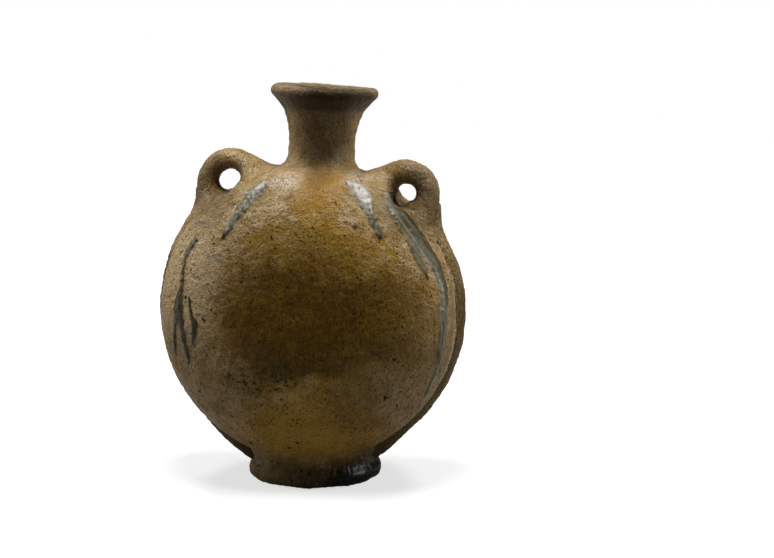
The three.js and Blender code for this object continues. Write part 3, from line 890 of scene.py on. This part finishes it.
seam_strip, given = new_tree("Seam strip", ("Width", "Edge"), Sides="Int")
path = node(seam_strip, "GeometryNodeMeshToCurve", {"Mesh": given["Geometry"]})[0]
roll, cosine, sine = rolled(path, given["Sides"])
outward = attribute(seam_strip, "outward", "FLOAT_VECTOR")
half_width = part_of(given["Width"], -0.5)
depth = part_of(half_width, cosine)
crest = maths("POWER", maths("ABSOLUTE", sine), STRIP_ROUND)
proud = maths("ADD", attribute(seam_strip, "proud"), given["Edge"])
outer = maths("GREATER_THAN", sine, 0.0)
inputs = {0: outer, 2: part_of(given["Edge"], -2.0), 3: proud}
rise = part_of(node(seam_strip, "ShaderNodeMix", inputs)[0], crest)
radius = maths("SUBTRACT", belly_radius_nodes(depth), given["Edge"])
radius = maths("ADD", radius, rise)
spot = vectors("ADD", scaled(outward, radius), combined(Y=depth, Z=BELLY_HEIGHT))
strip = node(seam_strip, "GeometryNodeSetPosition", {"Geometry": roll, "Position": spot})[0]
strip = kept(strip, "crown", maths("ABSOLUTE", sine))
end_tree(strip, given["Material"])

brown_glaze, surface, coat = glazed("Brown glaze")
tree = brown_glaze.node_tree
worn = node(tree, "ShaderNodeAttribute", attribute_name="worn")["Fac"]
crown = node(tree, "ShaderNodeAttribute", attribute_name="crown")["Fac"]
place = node(tree, "ShaderNodeTexCoord")["Object"]
patchy = maths("SUBTRACT", cloudy(place, PATCHY_SIZE, detail=4.0), 0.5)
worn = maths("SQRT", ease(gained(patchy, PATCHY_FADE, worn), 0.0, 1.0))
crown = gained(patchy, PATCHY_EDGE, crown)
# Painted highlight along the strip's edges.
painted_highlight_margin = part_of(ease(crown, *EDGE_HIGHLIGHT_RANGE), worn)
color = tint(part_of(painted_highlight_margin, EDGE_HIGHLIGHT_SHARE), coat["Color"], EDGE_HIGHLIGHT_TAN)
band = part_of(ease(crown, *BAND_RANGE), worn)
band = part_of(band, gained(patchy, *BAND_SHARES))
fill(surface, {"Base Color": tint(band, color, BROWN)})

for name, side, lug_name in (("left_seam_strip", -1, "left_lug"), ("right_seam_strip", 1, "right_lug")):
    top_end = abs(LUG_TURNS[lug_name]) + STRIP_TOP_END
    start = abs(LUG_TURNS[lug_name]) + math.atan2(LUG_ARCHES[lug_name], BELLY_RADIUS)
    finish = np.pi - math.asin(((FOOT_WAIST + FOOT_BORE) / 2 + side * FOOT_OFFSET) / BELLY_RADIUS)
    sweep = np.linspace(start, finish, STRIP_STEPS + 1)
    root = np.maximum(0, 1 - (finish - sweep) / STRIP_ROOT_SWEEP[name]) ** 2
    top = np.clip((top_end - sweep) / STRIP_TOP_SWEEP, 0, 1) ** 2
    facing = np.stack([side * np.sin(sweep), 0 * sweep, np.cos(sweep)], -1)
    middles = BELLY_RADIUS * facing + (0, 0, BELLY_HEIGHT)
    worn = np.clip((sweep - top_end) / STRIP_FADE, 0, 1)
    proud = STRIP_PROUD + (STRIP_TOP_PROUD - STRIP_PROUD) * top
    proud = proud + (STRIP_ROOT_PROUD[name] - STRIP_PROUD) * root
    strip = route("made_" + name, middles, outward=facing, proud=proud, worn=worn)
    through(strip, seam_strip, brown_glaze, STRIP_SIZES)
    through(faced_out(strip), worked_clay, brown_glaze, CLAY)
    fixed(strip, name)

# Foot ring: a thrown ring with a soft bulge, worked up against the underside of the belly all round.
# The glaze is thin here and darkens to umber, with painted shade under the belly darkening it further.
FOOT_RADIUS = 0.0565
FOOT_BASE = 0.0525
FOOT_BULGE_HEIGHT = 0.007
FOOT_WAIST_HEIGHT = 0.014
FOOT_SINK = WALL / 4
FOOT_SIDES = 256
FLAT_STEPS = 8
CURVE_STEPS = 14
around_foot = np.linspace(0, 2 * np.pi, FOOT_SIDES, endpoint=False)


def underside(radius, angle):
    """Height of the belly's underside at a place round the foot."""
    x = FOOT_OFFSET + radius * np.cos(angle)
    return BELLY_HEIGHT - belly_rise(x, radius * np.sin(angle))


bulge = (FOOT_RADIUS, FOOT_BULGE_HEIGHT)
above_bulge = (FOOT_RADIUS, (FOOT_BULGE_HEIGHT + FOOT_WAIST_HEIGHT) / 2)
waist = (FOOT_WAIST, FOOT_WAIST_HEIGHT)
foot_seat = np.linspace(FOOT_WAIST, FOOT_BORE, FLAT_STEPS)
foot_rings = []
for angle in around_foot:
    top = [(radius, underside(radius, angle) + FOOT_SINK) for radius in foot_seat]
    section = np.vstack([
        np.linspace((FOOT_BORE, 0), (FOOT_BASE, 0), FLAT_STEPS),
        bend((FOOT_BASE, 0), (FOOT_RADIUS, 0), bulge, CURVE_STEPS)[1:],
        bend(bulge, above_bulge, waist, CURVE_STEPS)[1:],
        np.linspace(waist, top[0], CURVE_STEPS)[1:],
        top[1:],
        np.linspace(top[-1], (FOOT_BORE, 0), CURVE_STEPS)[1:-1],
    ])
    spoke = np.array([np.cos(angle), np.sin(angle)])
    foot_rings.append(np.column_stack([section[:, :1] * spoke + (FOOT_OFFSET, 0), section[:, 1]]))

foot = tube("made_foot_ring", np.array(foot_rings), closed=True)
FOOT_CLAY = {**CLAY, "Lump Depth": 0.0012, "Pebble Depth": 0.0005}
through(foot, worked_clay, ash_glaze, FOOT_CLAY)
fixed(foot, "foot_ring")

# Foot coil: a roll of clay pressed into the corner between foot and belly, deeper under the seam strips.
# It is smoothed to a hollow that makes the waist above the foot.
FOOT_COIL_FRONT_DROP = 0.008
FOOT_COIL_SIDE_DROP = 0.014
FOOT_COIL_REACH = 0.013
drop = FOOT_COIL_FRONT_DROP + (FOOT_COIL_SIDE_DROP - FOOT_COIL_FRONT_DROP) * np.cos(around_foot) ** 2
corner = underside(FOOT_WAIST, around_foot)
far = FOOT_WAIST + FOOT_COIL_REACH
far_end = underside(far, around_foot)
coil_rings = corner_coil(around_foot, FOOT_WAIST, corner - drop, corner, far, far_end, -1)
foot_coil = tube("made_foot_coil", coil_rings + (FOOT_OFFSET, 0, 0), closed=True)
through(foot_coil, worked_clay, ash_glaze, CLAY)
fixed(foot_coil, "foot_coil")

# Glaze runs: thick melted ash that ran down the shoulders and sides and froze as raised, glassy drips.
# They are milky where the ash lay thick, blue-green further down and black glass at their tips.

# How ragged a run's rim is, how much milkier its left side is and how short its streaks are, and then its
# places: across and up in mm as seen from the front, half its width there and how milky it is, where 1 is
# white, 0 blue-green and -1 black. The pool on the foot starts its places with degrees from the front.
RUNS = (
    (1.7, 0.0, 0.9,
     (-27.5, 253, 3.6, 0.6), (-33.5, 247, 6.8, 0.6), (-37.5, 241.5, 6.4, 0.45), (-41.5, 235, 5.4, 0.35),
     (-46, 229.5, 4.6, 0.3), (-50, 223.5, 3.6, 0.4), (-54.5, 216, 2.6, 0.3), (-58, 209, 1.4, -0.9)),
    (1.4, 0.0, 0.7,
     (38, 252.5, 3.5, 0.9), (46.5, 248, 9, 1.0), (51.5, 242, 7.5, 0.9), (55.5, 236, 5, 0.7),
     (59.5, 229, 3.8, 0.5), (61.5, 225, 3.5, -0.4), (63, 221.5, 3, 0.4), (66, 215, 3.4, 0.1),
     (68, 210.5, 1.6, -1.0)),
    (0.8, 0.6, 0.1,
     (67, 242, 4, 0.5), (77.5, 230.5, 8.5, -0.1), (86, 220.5, 11, -0.25), (92.5, 212, 11.5, -0.2),
     (99, 202.5, 10.5, -0.15), (104.5, 194, 9, -0.1), (110.5, 184, 8, -0.05), (115, 169, 6.5, 0.05),
     (116, 149.5, 6, 0.15), (116, 137.5, 5.5, 0.1), (114.5, 121, 4.8, -0.1), (113, 112.5, 4.2, -0.7),
     (110, 100.5, 3.4, 0.1), (105.5, 88.5, 3.2, 0.0), (100.5, 79, 1.6, -0.8)),
    (0.8, 0.0, 0.3,
     (91, 205.5, 4, 0.3), (95.5, 195.5, 3.6, 0.1), (101, 186, 2.8, 0.0), (104.5, 177, 1.3, -1.0)),
    (1.2, 0.0, 0.3,
     (-82.5, 207.5, 3.5, -0.1), (-88.5, 199, 3.5, -0.2), (-91.5, 190.5, 2.5, -0.4), (-92, 179, 2, -0.5),
     (-92.5, 168, 2.5, -0.5), (-95, 158, 5, -0.4), (-97, 148.5, 4.5, -0.3), (-100.5, 135, 2.2, -0.2),
     (-101.5, 121, 2.2, -0.3), (-101.5, 111.5, 1, -0.7)),
    (1.5, 0.0, 0.3,
     (-94, 154.5, 3.6, -0.6), (-93, 144, 3.6, -0.7), (-92.5, 134, 3.2, -0.7), (-90, 121.5, 2.8, -0.8),
     (-88, 113.5, 2.2, -1.0), (-88, 106.5, 1.2, -1.1)),
    (1.5, 0.0, 0.3,
     (-85.5, 162, 1.2, -0.7), (-83, 149.5, 1.9, -1.0), (-80, 141, 2.9, -1.2), (-81.5, 133, 2.3, -0.9),
     (-83, 123.5, 1.6, -0.8)),
)
POOL = (
    (1.0, 0.0, 0.5,
     (20, 6, 2.5, -0.9), (27, 7.5, 6, -1.1), (40, 8.5, 8, -1.2), (55, 9, 8.5, -1.2),
     (68, 9.5, 8, -1.2), (78, 10, 7, -1.1), (86, 10.5, 3, -0.8)),
)
RUN_INPUTS = ("Crest", "Step", "Ragged", "Ragged Size", "Tilt", "Streak", "Seed")
RUN_FULLNESS = 0.45
glaze_run, given = new_tree("Glaze run", RUN_INPUTS, Base="Object", Sides="Int")
path = node(glaze_run, "GeometryNodeMeshToCurve", {"Mesh": given["Geometry"]})[0]
inputs = {"Curve": path, "Length": given["Step"]}
path = node(glaze_run, "GeometryNodeResampleCurve", inputs, mode="LENGTH")[0]
base = node(glaze_run, "GeometryNodeObjectInfo", {"Object": given["Base"]})["Geometry"]
skin_normal = node(glaze_run, "GeometryNodeInputNormal")[0]


def facing_at(spot):
    """Direction that the base's skin faces nearest to a spot."""
    inputs = {"Mesh": base, "Value": skin_normal, "Sample Position": spot}
    return node(spot.id_data, "GeometryNodeSampleNearestSurface", inputs, data_type="FLOAT_VECTOR")[0]


here = node(glaze_run, "GeometryNodeInputPosition")[0]
tangent = node(glaze_run, "GeometryNodeInputTangent")[0]
sideways = vectors("CROSS_PRODUCT", tangent, facing_at(here))
sideways = vectors("NORMALIZE", sideways)
path = kept(path, "sideways", sideways, "FLOAT_VECTOR")
path = kept(path, "along", node(glaze_run, "GeometryNodeSplineParameter")["Length"])
roll, cosine, sine = rolled(path, given["Sides"])
middle = attribute(glaze_run, "middle", "FLOAT_VECTOR")
half_width = attribute(glaze_run, "half_width")
reach = part_of(half_width, cosine)
sideways = attribute(glaze_run, "sideways", "FLOAT_VECTOR")
edge = vectors("ADD", middle, scaled(sideways, reach))
ragged = maths("SUBTRACT", cloudy(edge, given["Ragged Size"], detail=2.0), 0.5)
ragged = gained(ragged, given["Ragged"], 1.0)
reach = part_of(reach, ragged)
edge = vectors("ADD", middle, scaled(sideways, reach))
inputs = {0: base, "Sample Position": edge}
seat = node(glaze_run, "GeometryNodeProximity", inputs, target_element="FACES")["Position"]
bulge = part_of(sine, maths("ABSOLUTE", sine))
full = maths("MINIMUM", given["Crest"], part_of(half_width, RUN_FULLNESS))
spot = vectors("ADD", seat, scaled(facing_at(edge), part_of(bulge, full)))
drip = node(glaze_run, "GeometryNodeSetPosition", {"Geometry": roll, "Position": spot})[0]
two_toned = gained(cosine, given["Tilt"], attribute(glaze_run, "milk"))
drip = kept(drip, "milk", two_toned)
drip = kept(drip, "rim", maths("ABSOLUTE", cosine))
streak = part_of(attribute(glaze_run, "along"), given["Streak"])
flow = combined(X=reach, Y=streak, Z=given["Seed"])
drip = kept(drip, "flow", flow, "FLOAT_VECTOR")
end_tree(drip, given["Material"])

BLACK_GLASS = (0.008, 0.008, 0.007)
MOSS_GLASS = (0.034, 0.034, 0.015)
SEA_GLASS = (0.07, 0.075, 0.048)
GREY_GLASS = (0.19, 0.182, 0.145)
MILK_GLASS = (0.4, 0.39, 0.36)
TONES = (
    (-1.0, -0.45, MOSS_GLASS),
    (-0.45, 0.05, SEA_GLASS),
    (0.05, 0.5, GREY_GLASS),
    (0.5, 1.0, MILK_GLASS),
)
CURDLE_SIZE = 0.0026
SPECKS = {"ruffle": 0.0015, "drift": 0.004, "spacing": 0.0034, "reach": 0.42, "share": 0.5}
CURDLE_TONE = 2.6
SPECK_TONE = 0.9
CURDLE_RIM = 0.8
RIM_MOSS = (0.4, 0.7, 0.5)
RIM_COAT = (0.7, 1.0)
COAT_SHARES = (0.9, 0.1)
RUN_ROUGHNESS = (0.4, 0.1)
run_glass = bpy.data.materials.new("Glaze run")
run_glass.use_nodes = True
tree = run_glass.node_tree
surface = tree.nodes["Principled BSDF"]
milk = node(tree, "ShaderNodeAttribute", attribute_name="milk")["Fac"]
place = node(tree, "ShaderNodeTexCoord")["Object"]
flow = node(tree, "ShaderNodeAttribute", attribute_name="flow")["Vector"]
curdle = cloudy(flow, CURDLE_SIZE, detail=4.0)
curl = maths("SUBTRACT", curdle, 0.5)
tone = gained(curl, CURDLE_TONE, milk)
tone = maths("SUBTRACT", tone, part_of(dots(place, **SPECKS), SPECK_TONE))
color = BLACK_GLASS
for darker, paler, glass in TONES:
    color = tint(ease(tone, darker, paler), color, glass)
rim = node(tree, "ShaderNodeAttribute", attribute_name="rim")["Fac"]
rim = gained(curl, CURDLE_RIM, rim)
coat = node(tree, "ShaderNodeGroup", node_tree=glaze)
color = veiled(color, MOSS_GLASS, rim, *RIM_MOSS)
color = tint(gained(ease(rim, *RIM_COAT), *COAT_SHARES), color, coat["Color"])
ripple = node(tree, "ShaderNodeBump", {"Strength": 0.5, "Distance": 0.0004, "Height": curdle})
fill(surface, {
    "Base Color": color,
    "Roughness": gained(curdle, *RUN_ROUGHNESS),
    "Normal": ripple[0],
    "Specular IOR Level": 0.12,
})


def dish_front(x, z):
    """Where the front dish's skin lies behind a place seen from the front."""
    share = np.hypot(x, z - BELLY_HEIGHT) / BELLY_RADIUS
    return -BELLY_DEPTH * (1 - share**BELLY_FULLNESS) ** (1 / BELLY_FULLNESS)


RUN_SIZES = {"Crest": 0.0012, "Step": 0.0007, "Ragged Size": 0.004, "Sides": 24}
RUN_SPREAD = 1.22
MM_PER_M = 1000
for number, (ragged, tilt, streak, *places) in enumerate(RUNS + POOL, 1):
    x, z, half_width, milk = np.array(places).T
    z = z / MM_PER_M
    if number > len(RUNS):
        turn = np.radians(x)
        x = FOOT_OFFSET + FOOT_RADIUS * np.sin(turn)
        y = -FOOT_RADIUS * np.cos(turn)
        base = foot
    else:
        x = x / MM_PER_M
        y = dish_front(x, z)
        base = dishes["front_shell"]
    half_width = half_width / (MM_PER_M / RUN_SPREAD)
    drip = route(f"glaze_run_{number}", np.stack([x, y, z], -1), half_width=half_width, milk=milk)
    own = {"Base": base, "Ragged": ragged, "Tilt": tilt, "Streak": streak, "Seed": float(number)}
    through(drip, glaze_run, run_glass, {**RUN_SIZES, **own})
    faced_out(drip)
    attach(drip, "root")

# Studio: a pale floor under a white sky, one soft light overhead, one high up behind each shoulder
# and a weak one each side.
# The camera stands at eye height, a little to the right of the front, as in the photograph.
FLOOR_SIZE = 8.0
FLOOR_GREY = 0.4
NEAR_GLOW = 0.65
SHADOW_REACH = (0.2, 0.9)
SKY_STRENGTH = 0.05
LAMPS = {
    "overhead": ((0.0, -0.3, 1.3), 0.5, 12.0),
    "high left": ((-0.5, 0.42, 1.2), 0.3, 7.0),
    "high right": ((0.45, 0.42, 1.2), 0.3, 7.0),
    "left": ((-1.2, 0.0, 0.6), 0.6, 6.0),
    "right": ((1.2, 0.15, 0.6), 0.6, 6.5),
}
CAMERA_DISTANCE = 1.4
CAMERA_AZIMUTH = math.radians(10)
CAMERA_HEIGHT = 0.385
CAMERA_PITCH = math.radians(8.9)
CAMERA_YAW = math.radians(2.58)
LENS = 78.9

corners = np.array([(-1, -1, 0), (1, -1, 0), (1, 1, 0), (-1, 1, 0)]) * FLOOR_SIZE / 2
floor = piece_from("floor", corners, [(0, 1, 2, 3)])
paper = bpy.data.materials.new("Floor paper")
paper.use_nodes = True
tree = paper.node_tree
tree.nodes.clear()
seen = node(tree, "ShaderNodeLightPath")["Is Camera Ray"]
place = node(tree, "ShaderNodeTexCoord")["Object"]
inputs = {"Value": vectors("LENGTH", place), "To Min": NEAR_GLOW, "To Max": 1.0}
inputs.update({"From Min": SHADOW_REACH[0], "From Max": SHADOW_REACH[1]})
strength = part_of(seen, node(tree, "ShaderNodeMapRange", inputs)[0])
matt = node(tree, "ShaderNodeBsdfDiffuse", {"Color": (FLOOR_GREY, FLOOR_GREY, FLOOR_GREY, 1)})[0]
glow = node(tree, "ShaderNodeEmission", {"Strength": strength})[0]
both = node(tree, "ShaderNodeAddShader", {0: matt, 1: glow})[0]
node(tree, "ShaderNodeOutputMaterial", {"Surface": both})
floor.data.materials.append(paper)
floor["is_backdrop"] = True

scene = bpy.context.scene
sky = bpy.data.worlds.new("Studio")
sky.use_nodes = True
tree = sky.node_tree
backdrop = tree.nodes["Background"]
rays = node(tree, "ShaderNodeLightPath")
inputs = {"Value": rays["Is Camera Ray"], "To Min": SKY_STRENGTH, "To Max": 1.0}
strength = node(tree, "ShaderNodeMapRange", inputs)[0]
fill(backdrop, {"Color": (1, 1, 1, 1), "Strength": strength})
scene.world = sky

for name, (spot, size, power) in LAMPS.items():
    lamp = bpy.data.lights.new(name, "AREA")
    lamp.shape = "DISK"
    lamp.size = size
    lamp.energy = power
    softbox = bpy.data.objects.new(name, lamp)
    softbox.location = spot
    aim = Vector((0, 0, BELLY_HEIGHT)) - softbox.location
    softbox.rotation_euler = aim.to_track_quat("-Z", "Y").to_euler()
    scene.collection.objects.link(softbox)

camera = bpy.data.objects.new("camera", bpy.data.cameras.new("camera"))
camera.data.lens = LENS
camera.location = (
    CAMERA_DISTANCE * math.sin(CAMERA_AZIMUTH),
    -CAMERA_DISTANCE * math.cos(CAMERA_AZIMUTH),
    CAMERA_HEIGHT,
)
camera.rotation_euler = (math.pi / 2 - CAMERA_PITCH, 0, CAMERA_AZIMUTH - CAMERA_YAW)
scene.collection.objects.link(camera)
scene.camera = camera
scene.view_settings.view_transform = "Standard"

low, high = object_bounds()
